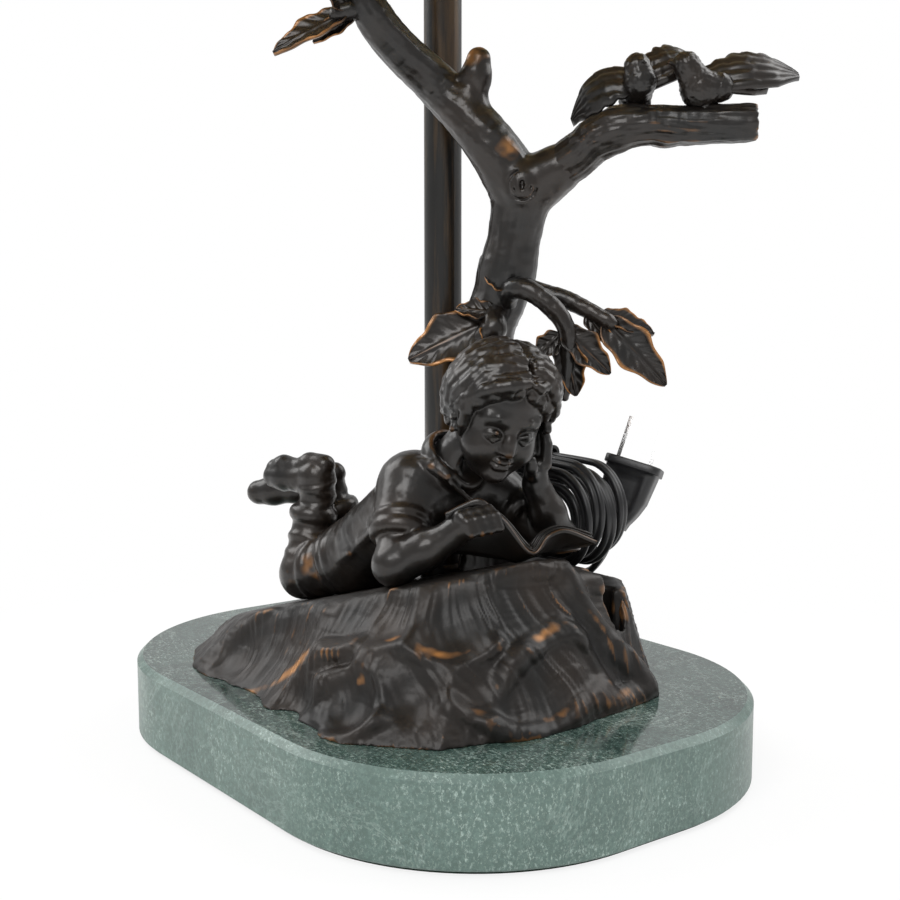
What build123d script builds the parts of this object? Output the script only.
from build123d import *
import math
import os

os.makedirs("parts", exist_ok=True)

# Figural table lamp. Millimetres, +Z up. The origin is the middle of the resting face,
# +X runs along the base towards the figure's head, and +Y is the side behind the figure.

# ---------------------------------------------------------------- marble base
base_length = 234.0
base_width = 175.0
base_corner_radius = 73.0
pad_thickness = 1.5
pad_inset = 3.0
marble_thickness = 28.5
marble_chamfer = 2.2
marble_foot_chamfer = 0.8
counterbore_depth = 9.0
counterbore_radius = 17.0

# ---------------------------------------------------------------- pole
pole_x = -22.6
pole_y = 23.2
pole_diameter = 14.0
pole_wall = 1.95
pole_top = 322.0
stud_diameter = 10.0
stud_engagement = 9.0
stud_tail = 1.5
washer_radius = 15.0
washer_thickness = 2.0
nut_across_flats = 17.0
nut_height = 5.0
collar_diameter = 19.0
collar_height = 6.0
grub_screw_radius = 1.5
fit_gap = 0.05
loose_gap = 0.3

# ---------------------------------------------------------------- rock casting
rock_wall = 4.0
rock_top_height = 61.4
rock_top_slope_x = 0.27
rock_top_slope_y = 0.04
back_slope = 0.28
back_slope_start_y = 6.0
back_slope_height = 76.0
ledge_height = 61.5
ledge_front_y = 38.0
rock_draft = 0.0079
rock_draft_x = 19.4
rock_draft_y = 36.8
rock_block_height = 60.0
boss_radius = 6.5
seat_boss_depth = 5.0
seat_boss_rim = 2.5
collar_seat_height = 55.0
tree_seat_height = 60.0
tree_seat_radius = 11.0
screw_radius = 2.5
screw_head_radius = 4.8
screw_head_height = 3.0
screw_washer_radius = 6.0
screw_washer_thickness = 1.0
screw_engagement = 12.0
figure_screw_radius = 2.0
figure_screw_head_radius = 3.6
figure_screw_head_height = 2.4
figure_screw_engagement = 8.0

# ---------------------------------------------------------------- cord
cord_diameter = 4.7
hank_half_run = 26.0
hank_outer_radius = 18.6
hank_pitch = 5.8
hank_climb_shift = 1.4
hank_layers = 4
hank_runs_each_layer = 4
hank_x = -5.0
hank_front_y = 42.3
hank_middle_z = 83.0
tie_gap = 0.35
tie_thickness = 1.2
tie_width = 8.0
lead_bend = 7.0
lead_height = 43.5
lead_slot_width = 6.0
bushing_shank_radius = 4.6
bushing_flange_radius = 6.6
bushing_flange_thickness = 1.6
bushing_inner_reach = 32.0
bushing_seat_reach = 40.0
relief_tip_reach = 56.0
relief_root_radius = 4.2
relief_tip_radius = 3.2
plug_neck_width = 9.0
plug_neck_depth = 7.0
plug_width = 20.0
plug_depth = 12.0
plug_flange_width = 22.0
plug_flange_depth = 13.5
plug_flange_thickness = 3.0
blade_width = 6.3
blade_thickness = 1.5
blade_length = 16.0
blade_spacing = 12.7

# ---------------------------------------------------------------- lampholder, bulb and shade
nipple_bore_radius = 2.9
nipple_engagement = 10.0
saddle_thickness = 1.5
saddle_half_length = 24.0
saddle_width = 12.0
sleeve_radius = 3.4
sleeve_height = 12.0
locknut_height = 3.0
locknut_across_flats = 15.0
cap_radius = 18.0
cap_height = 14.0
cap_lip_height = 10.5
cap_lip_inner_radius = 14.0
sheet_metal = 0.8
shell_height = 46.0
liner_thickness = 0.8
block_height = 18.0
screw_shell_radius = 14.0
screw_shell_height = 24.0
contact_radius = 3.5
contact_height = 3.0
bulb_radius = 29.0
bulb_cap_height = 24.0
bulb_neck_height = 9.0
bulb_glass_thickness = 1.0
key_shaft_radius = 1.5
key_shaft_depth = 9.0
key_height = 9.0
key_standoff = 2.0
key_knob_radius = 5.5
key_knob_length = 8.0
harp_wire_radius = 1.8
harp_half_width = 46.0
harp_clearance = 10.0
harp_boss_radius = 5.0
harp_boss_height = 8.0
stem_radius = 3.1
stem_length = 24.0
shade_rim_radius = 135.0
shade_shoulder_radius = 104.0
shade_shoulder_drop = 48.0
shade_top_radius = 27.0
shade_height = 130.0
shade_glass_thickness = 3.0
rim_band_width = 4.5
rim_band_height = 3.0
ring_width = 3.0
ring_height = 4.0
spider_thickness = 2.0
spider_width = 5.0
spider_hub_radius = 9.0
spider_arms = 3
shade_cap_radius = 31.0
shade_cap_rise = 8.0
shade_cap_thickness = 1.0
finial_height = 28.0
finial_radius = 7.0
finial_neck_radius = 3.9

marble_top = pad_thickness + marble_thickness
counterbore_top = pad_thickness + counterbore_depth
pole_radius = pole_diameter / 2
pole_bore = pole_radius - pole_wall
cord_radius = cord_diameter / 2
pole_place = (pole_x, pole_y)


def rock_top_z(x, y):
    return rock_top_height + rock_top_slope_x * x + rock_top_slope_y * y


def rock_height(x, y):
    if y > ledge_front_y:
        return min(rock_top_z(x, y), ledge_height)
    return min(rock_top_z(x, y), back_slope_height - back_slope * (y - back_slope_start_y))


def on_rock_top(x, y):
    return Plane(origin=(x, y, rock_top_z(x, y)), z_dir=(-rock_top_slope_x, -rock_top_slope_y, 1))


def limb(start, end, start_radius, end_radius):
    # a tapered limb with round ends, turned about the line from start to end
    first, last = Vector(*start), Vector(*end)
    span = last - first
    length = span.length
    lean = (start_radius - end_radius) / length
    rise = math.sqrt(1 - lean * lean)
    back = math.pi / 2 + math.acos(lean) / 2
    front = math.acos(lean) / 2
    side = span.cross(Vector(0.31, -0.42, 0.85))
    with BuildSketch(Plane(origin=first, x_dir=span, z_dir=side)) as profile:
        with BuildLine():
            back_mid = (start_radius * math.cos(back), start_radius * math.sin(back))
            front_mid = (length + end_radius * math.cos(front), end_radius * math.sin(front))
            shoulder = (start_radius * lean, start_radius * rise)
            waist = (length + end_radius * lean, end_radius * rise)
            ThreePointArc((-start_radius, 0), back_mid, shoulder)
            Line(shoulder, waist)
            ThreePointArc(waist, front_mid, (length + end_radius, 0))
            Line((length + end_radius, 0), (-start_radius, 0))
        make_face()
    revolve(profile.sketch, axis=Axis(first, span))


def limb_chain(*stations):
    # each station is a point and the limb's radius there
    for (start, start_radius), (end, end_radius) in zip(stations, stations[1:]):
        limb(start, end, start_radius, end_radius)


def leaf(stem, tip, width, facing, thickness=2.4):
    # a pointed blade between two arcs
    first, last = Vector(*stem), Vector(*tip)
    length = (last - first).length
    with BuildSketch(Plane(origin=first, x_dir=last - first, z_dir=Vector(*facing))) as blade:
        with BuildLine():
            ThreePointArc((0, 0), (length * 0.45, width / 2), (length, 0))
            ThreePointArc((length, 0), (length * 0.45, -width / 2), (0, 0))
        make_face()
    extrude(blade.sketch, amount=thickness / 2, both=True)


def disc(place, low, high, radius, mode=Mode.ADD):
    with BuildSketch(Plane.XY.offset(low)) as face:
        with Locations(place):
            Circle(radius)
    extrude(face.sketch, amount=high - low, mode=mode)


def hex_nut(place, low, height, across_flats, bore):
    with BuildSketch(Plane.XY.offset(low)) as face:
        with Locations(place):
            RegularPolygon(across_flats / 2, 6, major_radius=False)
            Circle(bore, mode=Mode.SUBTRACT)
    extrude(face.sketch, amount=height)


def turned(points, place=pole_place):
    # a straight-sided outline of (radius, height) points, turned about an upright axis
    with BuildSketch(Plane(origin=(*place, 0), x_dir=(1, 0, 0), z_dir=(0, -1, 0))) as outline:
        with BuildLine():
            Polyline(*points, close=True)
        make_face()
    revolve(outline.sketch, axis=Axis((*place, 0), (0, 0, 1)))


def arc_radii(points):
    # each corner's arc is as large as its two runs allow
    radii = []
    for before, corner, after in zip(points, points[1:], points[2:]):
        first = Vector(*corner) - Vector(*before)
        second = Vector(*after) - Vector(*corner)
        half_turn = math.radians(first.get_angle(second)) / 2
        radii.append(0.45 * min(first.length, second.length) / math.tan(half_turn))
    return radii


def cord_stretch(points, name):
    # a round cord along straight runs joined by tangent arcs
    radii = arc_radii(points)
    with BuildLine() as route:
        FilletPolyline(*points, radius=radii)
    path = route.wires()[0]
    with BuildSketch(Plane(origin=path @ 0, z_dir=path % 0)) as section:
        Circle(cord_radius)
    sweep(section.sketch, path=path)
    print(name, "radii", [round(radius, 1) for radius in radii], "length", round(path.length, 1))
    return path.length


def report_volume(builder, length, name):
    expected = math.pi * cord_radius**2 * length
    print(name, "volume", round(builder.part.volume), "section times length", round(expected))


def write(builder, name):
    builder.part.label = name
    export_step(builder.part, f"parts/{name}.step")


# ---------------------------------------------------------------- base pieces
rock_screw_places = [(-52.0, -30.0), (48.0, -34.0), (16.0, 50.0)]

with BuildPart() as base_pad:
    with BuildSketch():
        RectangleRounded(
            base_length - 2 * pad_inset, base_width - 2 * pad_inset, base_corner_radius - pad_inset
        )
    extrude(amount=pad_thickness)
write(base_pad, "base_pad")

with BuildPart() as marble_base:
    with BuildSketch(Plane.XY.offset(pad_thickness)):
        RectangleRounded(base_length, base_width, base_corner_radius)
    extrude(amount=marble_thickness)
    chamfer(marble_base.faces().sort_by(Axis.Z)[-1].edges(), marble_chamfer)
    chamfer(marble_base.faces().sort_by(Axis.Z)[0].edges(), marble_foot_chamfer)
    disc(pole_place, pad_thickness, counterbore_top, counterbore_radius, Mode.SUBTRACT)
    disc(pole_place, pad_thickness, marble_top, stud_diameter / 2 + loose_gap, Mode.SUBTRACT)
    for place in rock_screw_places:
        screw_bore = screw_washer_radius + loose_gap
        disc(place, pad_thickness, counterbore_top, screw_bore, Mode.SUBTRACT)
        disc(place, pad_thickness, marble_top, screw_radius + loose_gap, Mode.SUBTRACT)
write(marble_base, "marble_base")

# ---------------------------------------------------------------- rock casting
top_plane = Plane(
    origin=(0, 0, rock_top_height),
    x_dir=(1, 0, rock_top_slope_x),
    z_dir=(-rock_top_slope_x, -rock_top_slope_y, 1),
)

# places round the rock's foot, from the right corner clockwise along the front
rock_foot = [
    (88, -6), (85, -30), (79, -55), (56, -75), (32, -74), (-1, -78), (-46, -73), (-68, -61),
    (-80, -38), (-86, -12), (-81, 12), (-60, 44), (-34, 59), (8, 64), (47, 63), (78, 37),
]
pocket_outline = [(53, 22), (67, 27), (61, 41), (48, 38)]


def rock_mass(inset):
    # the rock's outer form, or with an inset the hollow inside its walls
    with BuildSketch(Plane.XY.offset(marble_top)) as foot:
        Polygon(*rock_foot, align=None)
        if inset:
            offset(amount=-inset, kind=Kind.INTERSECTION)
    sides = foot.sketch.face().outer_wire().order_edges()
    corners = [((side @ 0).X, (side @ 0).Y) for side in sides]
    crown_share = 1 - rock_draft * rock_block_height
    crown_corners = []
    for x, y in corners:
        crown_x = rock_draft_x + (x - rock_draft_x) * crown_share
        crown_y = rock_draft_y + (y - rock_draft_y) * crown_share
        crown_corners.append((crown_x, crown_y))
    with BuildSketch(Plane.XY.offset(marble_top)) as low_face:
        Polygon(*corners, align=None)
    with BuildSketch(Plane.XY.offset(marble_top + rock_block_height)) as high_face:
        Polygon(*crown_corners, align=None)
    loft([low_face.sketch.face(), high_face.sketch.face()], ruled=True)
    split(bisect_by=top_plane.offset(-inset), keep=Keep.BOTTOM)
    slope_length = math.hypot(1, back_slope)
    slope_plane = Plane(
        origin=(0, back_slope_start_y, back_slope_height - inset * slope_length),
        x_dir=(1, 0, 0),
        z_dir=(0, back_slope, 1),
    )
    split(bisect_by=slope_plane, keep=Keep.BOTTOM)
    with BuildSketch(Plane.XY.offset(ledge_height - inset)) as behind:
        with Locations((0, ledge_front_y - inset + base_width / 2)):
            Rectangle(2 * base_length, base_width)
    extrude(behind.sketch, amount=rock_top_height, mode=Mode.SUBTRACT)


lead_direction = Vector(-0.74, 0.67, 0).normalized()
lead_start = Vector(pole_x, pole_y, lead_height)
lead_plane = Plane(origin=lead_start, z_dir=lead_direction)
figure_screw_places = [(-30.0, -14.0), (-30.0, 3.0)]
tree_place = (1.0, 28.0)

with BuildPart() as rock_hollow:
    rock_mass(rock_wall)

with BuildPart() as rock_casting:
    rock_mass(0)
    add(rock_hollow.part, mode=Mode.SUBTRACT)
    for boss_x, boss_y in rock_screw_places:
        boss_top = rock_height(boss_x, boss_y) - rock_wall / 2
        disc((boss_x, boss_y), marble_top, boss_top, boss_radius)
        bore_top = marble_top + screw_engagement + 1
        disc((boss_x, boss_y), marble_top, bore_top, screw_radius + fit_gap, Mode.SUBTRACT)
    for place, seat, radius in (
        (tree_place, tree_seat_height, tree_seat_radius),
        (pole_place, collar_seat_height, collar_diameter / 2),
    ):
        disc(place, seat - seat_boss_depth, seat, radius + seat_boss_rim)
        disc(place, seat, seat + rock_top_height, radius + loose_gap, Mode.SUBTRACT)
    disc(pole_place, marble_top, pole_top, pole_radius + fit_gap, Mode.SUBTRACT)
    disc(tree_place, marble_top, tree_seat_height, screw_radius + loose_gap, Mode.SUBTRACT)
    tree_seat_underside = tree_seat_height - seat_boss_depth
    tree_head_bore = screw_head_radius + loose_gap
    disc(tree_place, marble_top, tree_seat_underside, tree_head_bore, Mode.SUBTRACT)
    for place in figure_screw_places:
        with BuildSketch(on_rock_top(*place)):
            Circle(figure_screw_radius + loose_gap)
        extrude(amount=-2 * rock_wall, mode=Mode.SUBTRACT)
    # round boss and bore for the cord's bushing
    with BuildSketch(lead_plane.offset(bushing_inner_reach)):
        Circle(bushing_flange_radius + 1)
    extrude(amount=bushing_seat_reach - bushing_inner_reach)
    with BuildSketch(lead_plane.offset(bushing_seat_reach)):
        Circle(bushing_flange_radius + 1)
    extrude(amount=rock_top_height / 2, mode=Mode.SUBTRACT)
    with BuildSketch(lead_plane.offset(pole_radius)):
        Circle(bushing_shank_radius + fit_gap)
    extrude(amount=bushing_seat_reach, mode=Mode.SUBTRACT)
    # open pocket behind the front ridge at the right end
    with BuildSketch(Plane.XY.offset(marble_top + rock_wall)):
        Polygon(*pocket_outline, align=None)
    extrude(amount=rock_top_height, mode=Mode.SUBTRACT)
write(rock_casting, "rock_casting")

with BuildPart() as rock_screws:
    for place in rock_screw_places:
        head_top = counterbore_top - screw_washer_thickness
        disc(place, head_top - screw_head_height, head_top, screw_head_radius)
        disc(place, head_top, marble_top + screw_engagement, screw_radius)
write(rock_screws, "rock_screws")

with BuildPart() as rock_screw_washers:
    for place in rock_screw_places:
        washer_low = counterbore_top - screw_washer_thickness
        disc(place, washer_low, counterbore_top, screw_washer_radius)
        disc(place, washer_low, counterbore_top, screw_radius + loose_gap, Mode.SUBTRACT)
write(rock_screw_washers, "rock_screw_washers")

# ---------------------------------------------------------------- reading figure
with BuildPart() as reading_figure:
    for hip, chest, hip_radius, chest_radius in (
        ((-30, -13, 65.2), (14, -14, 96), 13.2, 13.0),
        ((-30, 2.5, 65.2), (14, 6, 96), 12.4, 12.8),
    ):
        limb(hip, chest, hip_radius, chest_radius)
    limb((12, -14, 95), (14, 6, 96), 13.6, 13.4)
    limb((-29, -13, 65.2), (-29, 2, 65.2), 13.4, 12.6)
    limb_chain(((-30, -14, 65), 12.4), ((-50, -22, 56.6), 9.7), ((-51, -17, 80), 7), ((-50, -16, 93), 7.2))
    limb((-50, -16.5, 93), (-70, -24, 92), 6.9, 5.5)
    limb_chain(((-30, 3, 65), 12.5), ((-50, 2, 57), 9.6), ((-56, -4, 80), 7.1), ((-58, -6, 88), 7.2))
    limb((-58, -6.5, 88), (-84, -24, 84), 6.9, 5.5)
    limb_chain(((14, -18, 99), 10.4), ((26, -34, 74.8), 7.6), ((44, -20, 87.5), 5.4))
    limb_chain(((15, 11, 99), 10.4), ((41, 27, 77.4), 7.3), ((40, 14, 100), 5.6))
    limb_chain(((20, -6, 102), 10), ((34, -2, 117), 8.6))
    limb((35, 0, 122.5), (39.5, 1, 127.5), 18.6, 18.2)
    split(bisect_by=top_plane, keep=Keep.TOP)
    for place in figure_screw_places:
        with BuildSketch(on_rock_top(*place)):
            Circle(figure_screw_radius + fit_gap)
        extrude(amount=figure_screw_engagement + 1, mode=Mode.SUBTRACT)
write(reading_figure, "reading_figure")

with BuildPart() as figure_screws:
    for place in figure_screw_places:
        with BuildSketch(on_rock_top(*place).offset(-rock_wall - figure_screw_head_height)):
            Circle(figure_screw_head_radius)
        extrude(amount=figure_screw_head_height)
        with BuildSketch(on_rock_top(*place).offset(-rock_wall)):
            Circle(figure_screw_radius)
        extrude(amount=rock_wall + figure_screw_engagement)
write(figure_screws, "figure_screws")

# ---------------------------------------------------------------- open book
# its upper edge line, from the left cover's edge over both pages to the right cover's edge
book_edge = [(41, -24, 93.5), (48, -14, 98.0), (58, -1, 80.5), (62, 11, 87.5), (68, 19, 83.5)]
book_thickness = 3.6
book_depth = 15.0
book_plane = Plane(origin=book_edge[2], x_dir=(0.53, 0.85, 0), z_dir=(0.84, -0.53, 0.1))
page_line = [book_plane.to_local_coords(Vector(*point)) for point in book_edge]

with BuildPart() as open_book:
    with BuildSketch(book_plane):
        with BuildLine():
            top_edge = Polyline(*[(point.X, point.Y) for point in page_line])
            low_edge = Polyline(*[(point.X, point.Y - book_thickness) for point in page_line])
            Line(top_edge @ 0, low_edge @ 0)
            Line(top_edge @ 1, low_edge @ 1)
        make_face()
    extrude(amount=-book_depth)
    add(reading_figure.part, mode=Mode.SUBTRACT)
    add(rock_casting.part, mode=Mode.SUBTRACT)
write(open_book, "open_book")

# ---------------------------------------------------------------- tree
tree_stations = [
    ((1, 28, 62), 9.8), ((0.5, 26.4, 148), 8.6), ((9, 30, 166), 7.4), ((13, 32, 200), 9),
]
bough_stations = [
    ((12, 30.5, 201.5), 8.8), ((5, 20, 220), 7.5), ((-8, 11, 237), 6.6), ((-10, -5, 249), 6),
    ((-11, -18, 263), 5.4), ((-20, -22, 291), 4.6), ((-16, -12, 315), 3.5),
]

with BuildPart() as tree_trunk:
    limb_chain(*tree_stations)
    limb_chain(*bough_stations)
    limb((0, 17, 232), (4, 19, 245), 6, 4.4)
    limb((14.5, 33, 201.5), (27, 39, 209), 8.4, 6.6)
    split(bisect_by=Plane.XY.offset(tree_seat_height), keep=Keep.TOP)
    disc(
        tree_place, tree_seat_height, tree_seat_height + screw_engagement + 1,
        screw_radius + fit_gap, Mode.SUBTRACT,
    )
write(tree_trunk, "tree_trunk")

with BuildPart() as tree_screw:
    screw_seat = tree_seat_height - seat_boss_depth
    disc(tree_place, screw_seat - screw_head_height, screw_seat, screw_head_radius)
    disc(tree_place, screw_seat, tree_seat_height + screw_engagement, screw_radius)
write(tree_screw, "tree_screw")

log_start = Vector(44, 46, 221)
log_end = Vector(77, 82, 222)
log_radius = 5.6

with BuildPart() as right_bough:
    limb_chain(((25, 38, 207.6), 6.4), ((40, 44.5, 218), 6), ((47, 49.5, 221), 5.8))
    with BuildSketch(Plane(origin=log_start, z_dir=log_end - log_start)):
        Circle(log_radius)
    extrude(amount=(log_end - log_start).length)
    add(tree_trunk.part, mode=Mode.SUBTRACT)
write(right_bough, "right_bough")

with BuildPart() as left_bird:
    limb((44, 56, 231), (51, 52, 237), 5.5, 5.2)
    limb((50, 51.5, 241), (54, 49.5, 243), 4.2, 1.6)
    leaf((46, 54, 238), (30, 34, 232), 9, (0.55, -0.7, 0.45), 3)
    leaf((48, 55, 237), (55, 76, 251), 9, (0.6, -0.6, 0.5), 3)
    add(right_bough.part, mode=Mode.SUBTRACT)
write(left_bird, "left_bird")

with BuildPart() as right_bird:
    limb((64, 66, 231), (69, 72, 234), 5.6, 5.2)
    limb((63, 61, 241), (60, 58, 242), 4.2, 1.6)
    limb((63, 62, 240), (66, 68, 234), 4, 5)
    leaf((66, 70, 236), (84, 96, 243), 10, (0.6, -0.55, 0.55), 3)
    leaf((68, 70, 234), (77, 86, 233), 7, (0.4, -0.5, 0.75), 2.4)
    add(right_bough.part, mode=Mode.SUBTRACT)
write(right_bird, "right_bird")

with BuildPart() as upper_leaves:
    limb_chain(((-11, -18, 261), 2.4), ((-16, -27, 259), 1.6))
    leaf((-14, -24, 260), (-27, -47, 246), 13, (0.7, -0.55, 0.45))
    leaf((-13, -23, 260), (-14, -33, 268), 9, (0.8, -0.4, -0.3))
    add(tree_trunk.part, mode=Mode.SUBTRACT)
write(upper_leaves, "upper_leaves")

with BuildPart() as left_leaf:
    limb_chain(((6, 27, 158), 4), ((12, 20, 152), 4.2))
    leaf((9, 19, 154), (-5, -6, 140), 14, (0.7, -0.55, 0.45))
    add(tree_trunk.part, mode=Mode.SUBTRACT)
write(left_leaf, "left_leaf")

with BuildPart() as hanging_vine:
    limb_chain(
        ((12, 29, 163), 2), ((23, 25, 164), 2), ((34, 36, 152), 1.9), ((32.5, 35.5, 127), 1.6)
    )
    leaf((34, 37, 150), (46, 49, 134), 9, (0.75, -0.65, 0.1))
    add(tree_trunk.part, mode=Mode.SUBTRACT)
write(hanging_vine, "hanging_vine")

with BuildPart() as right_leaves:
    limb_chain(((12, 32, 168), 2.2), ((27, 40, 162), 2), ((41, 50, 153), 1.8))
    leaf((39, 49, 154), (56, 63, 131), 11, (0.75, -0.65, 0.1))
    leaf((38, 48, 155), (47, 66, 149), 9, (0.75, -0.6, 0.3))
    add(tree_trunk.part, mode=Mode.SUBTRACT)
    add(hanging_vine.part, mode=Mode.SUBTRACT)
write(right_leaves, "right_leaves")

# ---------------------------------------------------------------- pole and its fixings
stud_low = counterbore_top - washer_thickness - nut_height - stud_tail

with BuildPart() as lamp_pole:
    disc(pole_place, marble_top, pole_top, pole_radius)
    disc(pole_place, marble_top, pole_top, pole_bore, Mode.SUBTRACT)
    with BuildSketch(lead_plane):
        RectangleRounded(lead_slot_width, lead_slot_width + 1, lead_slot_width / 2 - 0.1)
    extrude(amount=pole_diameter, mode=Mode.SUBTRACT)
write(lamp_pole, "lamp_pole")

with BuildPart() as pole_stud:
    disc(pole_place, stud_low, marble_top + stud_engagement, stud_diameter / 2)
write(pole_stud, "pole_stud")

with BuildPart() as pole_nut:
    nut_low = counterbore_top - washer_thickness - nut_height
    hex_nut(pole_place, nut_low, nut_height, nut_across_flats, stud_diameter / 2 + fit_gap)
write(pole_nut, "pole_nut")

with BuildPart() as pole_washer:
    disc(pole_place, counterbore_top - washer_thickness, counterbore_top, washer_radius)
    disc(
        pole_place, counterbore_top - washer_thickness, counterbore_top,
        stud_diameter / 2 + loose_gap, Mode.SUBTRACT,
    )
write(pole_washer, "pole_washer")

collar_top = collar_seat_height + collar_height
grub_plane = Plane(
    origin=(pole_x, pole_y, collar_seat_height + collar_height / 2), x_dir=(1, 0, 0), z_dir=(0, 1, 0)
)

with BuildPart() as pole_collar:
    disc(pole_place, collar_seat_height, collar_top, collar_diameter / 2)
    disc(pole_place, collar_seat_height, collar_top, pole_radius + fit_gap, Mode.SUBTRACT)
    with BuildSketch(grub_plane):
        Circle(grub_screw_radius + fit_gap)
    extrude(amount=collar_diameter, mode=Mode.SUBTRACT)
    chamfer(pole_collar.faces().sort_by(Axis.Z)[-1].edges().sort_by(SortBy.LENGTH)[-1], 1.0)
write(pole_collar, "pole_collar")

with BuildPart() as collar_screw:
    with BuildSketch(grub_plane.offset(pole_radius)):
        Circle(grub_screw_radius)
    extrude(amount=collar_diameter / 2 - pole_radius)
write(collar_screw, "collar_screw")

# ---------------------------------------------------------------- hank of cord
def hank_path():
    # run ends of the hank, layer by layer: half turns draw in or let out, and climb between layers
    half_pitch = hank_pitch / 2
    ends = []
    for layer in range(hank_layers):
        y = hank_front_y + layer * hank_pitch
        for run in range(hank_runs_each_layer):
            drawn_in = run if layer % 2 == 0 else hank_runs_each_layer - 1 - run
            radius = hank_outer_radius - drawn_in * half_pitch
            rightward = run % 2 == 0
            z = hank_middle_z - radius if rightward else hank_middle_z + radius
            shift = hank_climb_shift if drawn_in == hank_runs_each_layer - 1 else 0
            left, right = (hank_x - hank_half_run + shift, y, z), (hank_x + hank_half_run, y, z)
            ends.append((left, right) if rightward else (right, left))
    last_y = hank_front_y + hank_layers * hank_pitch
    last_z = hank_middle_z - hank_outer_radius
    last_start = (hank_x - hank_half_run, last_y, last_z)
    ends.append((last_start, (last_start[0] + 2 * cord_diameter, last_y, last_z)))
    return ends


def half_turn_middle(start, end, side):
    middle = (Vector(*start) + Vector(*end)) * 0.5
    reach = (Vector(*end) - Vector(*start)).length / 2
    return middle + Vector(side * reach, 0, 0)


hank_runs = hank_path()
hank_start = hank_runs[0][0]
hank_end = hank_runs[-1][1]

with BuildPart() as cord_coil:
    with BuildLine() as hank_line:
        for index, (start, end) in enumerate(hank_runs):
            Line(start, end)
            if index + 1 < len(hank_runs):
                side = 1 if index % 2 == 0 else -1
                following = hank_runs[index + 1][0]
                ThreePointArc(end, half_turn_middle(end, following, side), following)
    with BuildSketch(Plane(origin=hank_start, z_dir=(1, 0, 0))) as hank_section:
        Circle(cord_radius)
    hank_wire = hank_line.wires()[0]
    sweep(hank_section.sketch, path=hank_wire)
write(cord_coil, "cord_coil")


def least_self_gap(line, steps=1500):
    places = [tuple(line @ (index / steps)) for index in range(steps + 1)]
    skip = math.ceil(math.pi * cord_diameter * steps / line.length)
    gap = min(
        math.dist(places[first], places[second])
        for first in range(len(places))
        for second in range(first + skip, len(places))
    )
    return gap - cord_diameter


hank_length = hank_wire.length
print("cord_coil least gap to itself", round(least_self_gap(hank_wire), 2))
print("cord_coil radii", round(hank_outer_radius - 3 * hank_pitch / 2, 1), "to", hank_outer_radius)
report_volume(cord_coil, hank_length, "cord_coil")

with BuildPart() as cord_tie:
    tie_low = hank_middle_z + hank_outer_radius - 3 * hank_pitch / 2 - cord_radius - tie_gap
    tie_high = hank_middle_z + hank_outer_radius + cord_radius + tie_gap
    tie_front = hank_front_y - cord_radius - tie_gap
    tie_back = hank_front_y + (hank_layers - 1) * hank_pitch + cord_radius + tie_gap
    with BuildSketch(Plane(origin=(hank_x - tie_width / 2, 0, 0), x_dir=(0, 1, 0), z_dir=(1, 0, 0))):
        with Locations(((tie_front + tie_back) / 2, (tie_low + tie_high) / 2)):
            RectangleRounded(
                tie_back - tie_front + 2 * tie_thickness, tie_high - tie_low + 2 * tie_thickness, 3.2
            )
            RectangleRounded(tie_back - tie_front, tie_high - tie_low, 2.0, mode=Mode.SUBTRACT)
    extrude(amount=tie_width)
write(cord_tie, "cord_tie")

# ---------------------------------------------------------------- cord out of the rock to the hank
relief_tip = lead_start + lead_direction * relief_tip_reach
first_straight = relief_tip + lead_direction * 2.1 * cord_diameter
run_route = [
    tuple(relief_tip), tuple(first_straight), (-81.6, 69.4, 41.6), (-91, 65.4, 37.8), (-96.6, 56.8, 34.2),
    (-97.2, 45, 32.4), (-96, 33.5, 33.6), (-91.5, 23, 37.8), (-85.5, 15.5, 44), (-77, 12.2, 49.6),
    (-67.5, 14, 52.2), (-60.5, 21, 54.8), (-55.2, 29.5, 58), (-48.9, 37.3, 61.9), (-40.5, 42.3, 64.4),
    hank_start,
]

with BuildPart() as cord_run:
    run_length = cord_stretch(run_route, "cord_run")
report_volume(cord_run, run_length, "cord_run")
write(cord_run, "cord_run")

# ---------------------------------------------------------------- cord from the hank to the plug
plug_base = Vector(24.4, 68.6, 76)
plug_axis = Vector(0.06, 0.36, 0.93).normalized()
plug_length = 26.0
tail_route = [
    hank_end, (-16.9, 65.5, 64.4), (-8.8, 65.3, 62.1), (-1.1, 64.9, 56.4), (8.2, 64.9, 55.3),
    (15.7, 64.9, 58), (21.2, 64.9, 63.5), tuple(plug_base - plug_axis * 6.9), tuple(plug_base),
]

with BuildPart() as cord_tail:
    tail_length = cord_stretch(tail_route, "cord_tail")
report_volume(cord_tail, tail_length, "cord_tail")
write(cord_tail, "cord_tail")
print("cord length in all", round(run_length + hank_length + tail_length))

# ---------------------------------------------------------------- plug
plug_plane = Plane(origin=plug_base, x_dir=(0.85, 0.5, -0.2), z_dir=plug_axis)

with BuildPart() as plug_body:
    with BuildSketch(plug_plane):
        RectangleRounded(plug_neck_width, plug_neck_depth, 3)
    with BuildSketch(plug_plane.offset(plug_length * 0.45)):
        RectangleRounded(plug_width - 2, plug_depth - 1, 3.5)
    with BuildSketch(plug_plane.offset(plug_length - plug_flange_thickness)):
        RectangleRounded(plug_width, plug_depth, 3.5)
    loft(ruled=True)
    with BuildSketch(plug_plane.offset(plug_length - plug_flange_thickness)):
        RectangleRounded(plug_flange_width, plug_flange_depth, 4)
    extrude(amount=plug_flange_thickness)
write(plug_body, "plug_body")

with BuildPart() as plug_blades:
    with BuildSketch(plug_plane.offset(plug_length)):
        with GridLocations(blade_spacing, 1, 2, 1):
            Rectangle(blade_thickness, blade_width)
    extrude(amount=blade_length)
write(plug_blades, "plug_blades")

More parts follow.
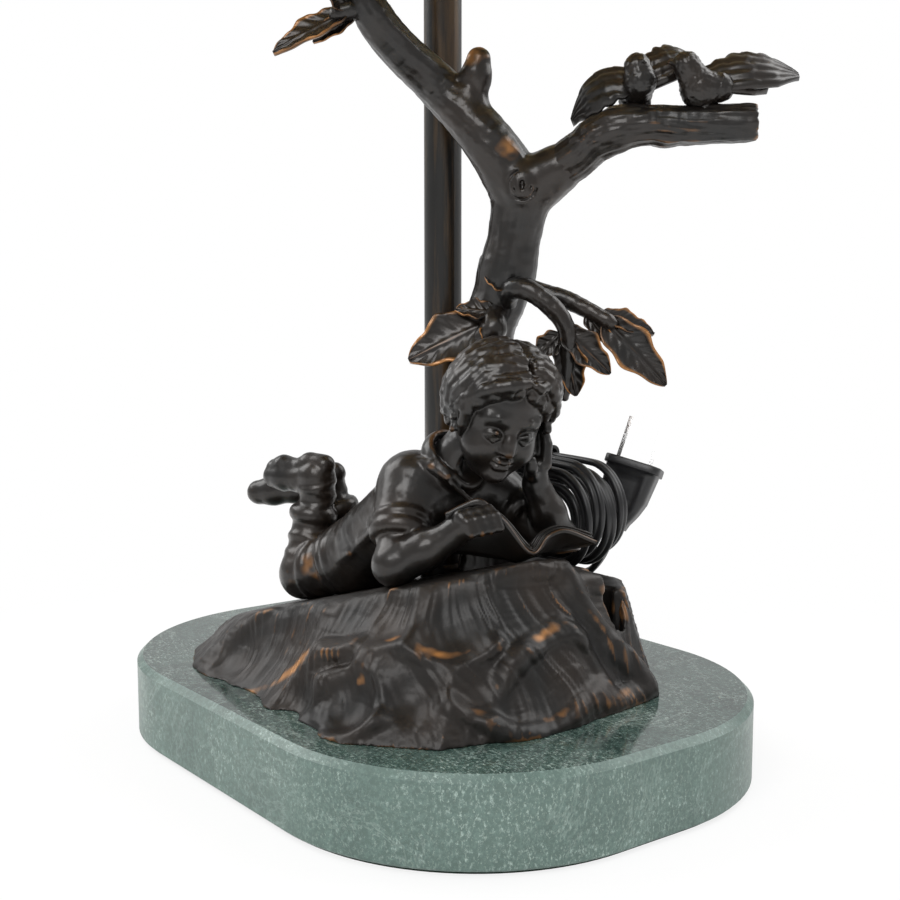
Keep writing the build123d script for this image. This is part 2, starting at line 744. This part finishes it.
# ---------------------------------------------------------------- bushing and the lead inside
with BuildPart() as cord_bushing:
    with BuildSketch(lead_plane.offset(bushing_inner_reach)):
        Circle(bushing_shank_radius)
    extrude(amount=bushing_seat_reach - bushing_inner_reach)
    with BuildSketch(lead_plane.offset(bushing_seat_reach)):
        Circle(bushing_flange_radius)
    extrude(amount=bushing_flange_thickness)
    with BuildSketch(lead_plane.offset(bushing_seat_reach + bushing_flange_thickness)):
        Circle(relief_root_radius)
    with BuildSketch(lead_plane.offset(relief_tip_reach)):
        Circle(relief_tip_radius)
    loft()
    with BuildSketch(lead_plane.offset(bushing_inner_reach)):
        Circle(cord_radius + fit_gap)
    extrude(amount=relief_tip_reach, mode=Mode.SUBTRACT)
write(cord_bushing, "cord_bushing")

saddle_low = pole_top
cap_low = saddle_low + saddle_thickness
lip_high = cap_low + cap_lip_height
block_high = lip_high + block_height

with BuildPart() as inner_lead:
    with BuildLine() as lead_line:
        lead_turn = tuple(lead_start)
        FilletPolyline(tuple(relief_tip), lead_turn, (pole_x, pole_y, lip_high), radius=lead_bend)
    lead_wire = lead_line.wires()[0]
    with BuildSketch(Plane(origin=lead_wire @ 0, z_dir=lead_wire % 0)) as lead_section:
        Circle(cord_radius)
    sweep(lead_section.sketch, path=lead_wire)
write(inner_lead, "inner_lead")

# ---------------------------------------------------------------- lampholder
with BuildPart() as top_nipple:
    nipple_high = cap_low + sheet_metal + locknut_height
    disc(pole_place, pole_top - nipple_engagement, nipple_high, stud_diameter / 2)
    disc(pole_place, pole_top - nipple_engagement, nipple_high, nipple_bore_radius, Mode.SUBTRACT)
write(top_nipple, "top_nipple")

with BuildPart() as harp_saddle:
    with BuildSketch(Plane.XY.offset(saddle_low)):
        with Locations(pole_place):
            SlotOverall(2 * (saddle_half_length + saddle_width / 2), saddle_width)
            Circle(stud_diameter / 2 + fit_gap, mode=Mode.SUBTRACT)
    extrude(amount=saddle_thickness)
    for side in (-1, 1):
        sleeve_place = (pole_x + side * saddle_half_length, pole_y)
        disc(sleeve_place, saddle_low, saddle_low + sleeve_height, sleeve_radius)
        sleeve_floor = saddle_low + saddle_thickness
        sleeve_bore = harp_wire_radius + fit_gap
        disc(sleeve_place, sleeve_floor, saddle_low + sleeve_height, sleeve_bore, Mode.SUBTRACT)
write(harp_saddle, "harp_saddle")

cap_inner = cap_radius - sheet_metal
shell_outer = cap_inner - fit_gap
shell_inner = shell_outer - sheet_metal
liner_outer = shell_inner - fit_gap
liner_inner = liner_outer - liner_thickness
block_radius = liner_inner - fit_gap
shell_high = lip_high + shell_height

with BuildPart() as holder_cap:
    turned([
        (stud_diameter / 2 + fit_gap, cap_low), (cap_radius - 5, cap_low), (cap_radius, cap_low + 6),
        (cap_radius, cap_low + cap_height), (cap_inner, cap_low + cap_height), (cap_inner, lip_high),
        (cap_lip_inner_radius, lip_high), (cap_lip_inner_radius, lip_high - sheet_metal),
        (cap_inner, lip_high - sheet_metal), (cap_inner, cap_low + 6.3),
        (cap_radius - 5.3, cap_low + sheet_metal), (stud_diameter / 2 + fit_gap, cap_low + sheet_metal),
    ])
write(holder_cap, "holder_cap")

with BuildPart() as holder_locknut:
    nut_seat = cap_low + sheet_metal
    nut_bore = stud_diameter / 2 + fit_gap
    hex_nut(pole_place, nut_seat, locknut_height, locknut_across_flats, nut_bore)
write(holder_locknut, "holder_locknut")

key_plane = Plane(origin=(pole_x, pole_y, lip_high + key_height), x_dir=(1, 0, 0), z_dir=(0, -1, 0))
key_bore = key_shaft_radius + fit_gap

with BuildPart() as holder_shell:
    turned([
        (shell_outer, lip_high), (shell_outer, shell_high - 3), (shell_outer - 2, shell_high),
        (shell_inner - 2, shell_high), (shell_inner, shell_high - 3), (shell_inner, lip_high),
    ])
    with BuildSketch(key_plane):
        Circle(key_bore)
    extrude(amount=2 * cap_radius, mode=Mode.SUBTRACT)
write(holder_shell, "holder_shell")

with BuildPart() as holder_liner:
    turned([
        (liner_outer, lip_high), (liner_outer, shell_high - 4), (liner_inner, shell_high - 4),
        (liner_inner, lip_high),
    ])
    with BuildSketch(key_plane):
        Circle(key_bore)
    extrude(amount=2 * cap_radius, mode=Mode.SUBTRACT)
write(holder_liner, "holder_liner")

with BuildPart() as switch_block:
    disc(pole_place, lip_high, block_high, block_radius)
    with BuildSketch(key_plane.offset(block_radius - key_shaft_depth)):
        Circle(key_bore)
    extrude(amount=2 * cap_radius, mode=Mode.SUBTRACT)
write(switch_block, "switch_block")

with BuildPart() as switch_key:
    with BuildSketch(key_plane.offset(block_radius - key_shaft_depth)):
        Circle(key_shaft_radius)
    extrude(amount=key_shaft_depth + shell_outer - block_radius + key_standoff)
    with BuildSketch(key_plane.offset(shell_outer + key_standoff)):
        RegularPolygon(key_knob_radius, 8)
    extrude(amount=key_knob_length)
write(switch_key, "switch_key")

with BuildPart() as screw_shell:
    disc(pole_place, block_high, block_high + screw_shell_height, screw_shell_radius)
    bulb_bore = screw_shell_radius - sheet_metal + fit_gap
    disc(pole_place, block_high, block_high + screw_shell_height, bulb_bore, Mode.SUBTRACT)
write(screw_shell, "screw_shell")

contact_high = block_high + contact_height
with BuildPart() as centre_contact:
    disc(pole_place, block_high, contact_high, contact_radius)
write(centre_contact, "centre_contact")

# ---------------------------------------------------------------- bulb
bulb_cap_radius = screw_shell_radius - sheet_metal
bulb_cap_high = contact_high + bulb_cap_height
bulb_middle = bulb_cap_high + bulb_neck_height + bulb_radius * 0.85
bulb_top = bulb_middle + bulb_radius

with BuildPart() as bulb_cap:
    disc(pole_place, contact_high, bulb_cap_high, bulb_cap_radius)
write(bulb_cap, "bulb_cap")

with BuildPart() as bulb_glass:
    for skin, mode in ((0, Mode.ADD), (bulb_glass_thickness, Mode.SUBTRACT)):
        neck = bulb_cap_radius - 0.6 - skin
        globe = bulb_radius - skin
        with BuildSketch(
            Plane(origin=(*pole_place, bulb_middle), x_dir=(1, 0, 0), z_dir=(0, -1, 0))
        ) as bulb_outline:
            with BuildLine():
                side_angle = math.radians(-30)
                meet = (globe * math.cos(side_angle), globe * math.sin(side_angle))
                neck_low = bulb_cap_high - bulb_middle
                Line((0, neck_low), (neck, neck_low))
                Line((neck, neck_low), meet)
                ThreePointArc(meet, (globe * math.cos(0.55), globe * math.sin(0.55)), (0, globe))
                Line((0, globe), (0, neck_low))
            make_face()
        revolve(bulb_outline.sketch, axis=Axis((*pole_place, 0), (0, 0, 1)), mode=mode)
write(bulb_glass, "bulb_glass")

# ---------------------------------------------------------------- harp
harp_foot = saddle_low + saddle_thickness
harp_top = bulb_top + harp_clearance
harp_seat = harp_top + harp_boss_height / 2

with BuildPart() as harp:
    left_half = [
        (-saddle_half_length, harp_foot), (-saddle_half_length, harp_foot + 22),
        (-harp_half_width, harp_foot + 60), (-harp_half_width, harp_top - 28),
        (-harp_half_width + 22, harp_top), (0, harp_top),
    ]
    harp_points = left_half[:-1] + [(-x, z) for x, z in reversed(left_half[:-1])]
    with BuildLine() as harp_line:
        FilletPolyline(*[(pole_x + x, pole_y, z) for x, z in harp_points], radius=12)
    harp_wire = harp_line.wires()[0]
    with BuildSketch(Plane(origin=harp_wire @ 0, z_dir=harp_wire % 0)) as harp_section:
        Circle(harp_wire_radius)
    sweep(harp_section.sketch, path=harp_wire)
    disc(pole_place, harp_top - harp_boss_height / 2, harp_seat, harp_boss_radius)
    disc(pole_place, harp_seat, harp_seat + stem_length, stem_radius)
write(harp, "harp")

# ---------------------------------------------------------------- shade
shade_top = harp_seat + spider_thickness
shade_rim = shade_top - shade_height
glass_top = shade_top

with BuildPart() as shade_glass:
    skin = shade_glass_thickness
    shoulder_z = glass_top - shade_shoulder_drop
    with BuildSketch(Plane(origin=(*pole_place, 0), x_dir=(1, 0, 0), z_dir=(0, -1, 0))) as dome:
        with BuildLine():
            ThreePointArc(
                (shade_rim_radius, shade_rim), (shade_shoulder_radius, shoulder_z),
                (shade_top_radius, glass_top),
            )
            Line((shade_top_radius, glass_top), (shade_top_radius, glass_top - skin))
            ThreePointArc(
                (shade_top_radius, glass_top - skin),
                (shade_shoulder_radius - 0.7 * skin, shoulder_z - 0.7 * skin),
                (shade_rim_radius - skin, shade_rim),
            )
            Line((shade_rim_radius - skin, shade_rim), (shade_rim_radius, shade_rim))
        make_face()
    revolve(dome.sketch, axis=Axis((*pole_place, 0), (0, 0, 1)))
write(shade_glass, "shade_glass")

with BuildPart() as shade_rim_band:
    band_middle = shade_rim_radius - shade_glass_thickness / 2
    band_low = shade_rim - rim_band_height
    disc(pole_place, band_low, shade_rim, band_middle + rim_band_width / 2)
    disc(pole_place, band_low, shade_rim, band_middle - rim_band_width / 2, Mode.SUBTRACT)
write(shade_rim_band, "shade_rim_band")

with BuildPart() as shade_spider:
    ring_low = shade_top - ring_height
    disc(pole_place, ring_low, shade_top, shade_top_radius)
    disc(pole_place, ring_low, shade_top, shade_top_radius - ring_width, Mode.SUBTRACT)
    disc(pole_place, harp_seat, shade_top, spider_hub_radius)
    with BuildSketch(Plane.XY.offset(harp_seat)):
        with Locations(pole_place):
            with PolarLocations((shade_top_radius + spider_hub_radius) / 2 - 1, spider_arms):
                Rectangle(shade_top_radius - spider_hub_radius, spider_width)
    extrude(amount=spider_thickness)
    disc(pole_place, harp_seat, shade_top, stem_radius + fit_gap, Mode.SUBTRACT)
write(shade_spider, "shade_spider")

cap_rest = shade_top + shade_cap_rise
with BuildPart() as shade_cap:
    flat = shade_cap_thickness
    turned([
        (shade_cap_radius, shade_top), (shade_cap_radius, shade_top + flat),
        (shade_cap_radius - 7, shade_top + flat + 1), (12, cap_rest + flat),
        (stem_radius + fit_gap, cap_rest + flat), (stem_radius + fit_gap, cap_rest),
        (12, cap_rest), (shade_cap_radius - 7, shade_top + 1), (shade_cap_radius - 7, shade_top),
    ])
write(shade_cap, "shade_cap")

finial_low = cap_rest + shade_cap_thickness
finial_bore_top = harp_seat + stem_length + 1
finial_top = finial_low + finial_height
with BuildPart() as finial:
    turned([
        (stem_radius + fit_gap, finial_low), (finial_radius, finial_low),
        (finial_radius, finial_low + 2.5), (finial_neck_radius + 0.3, finial_low + 5),
        (finial_neck_radius + 0.6, finial_top - 13), (finial_radius - 0.8, finial_top - 9),
        (finial_radius - 1.2, finial_top - 4), (finial_neck_radius - 1, finial_top - 0.8),
        (0, finial_top), (0, finial_bore_top), (stem_radius + fit_gap, finial_bore_top),
    ])
write(finial, "finial")
print("height", round(finial_top, 1))
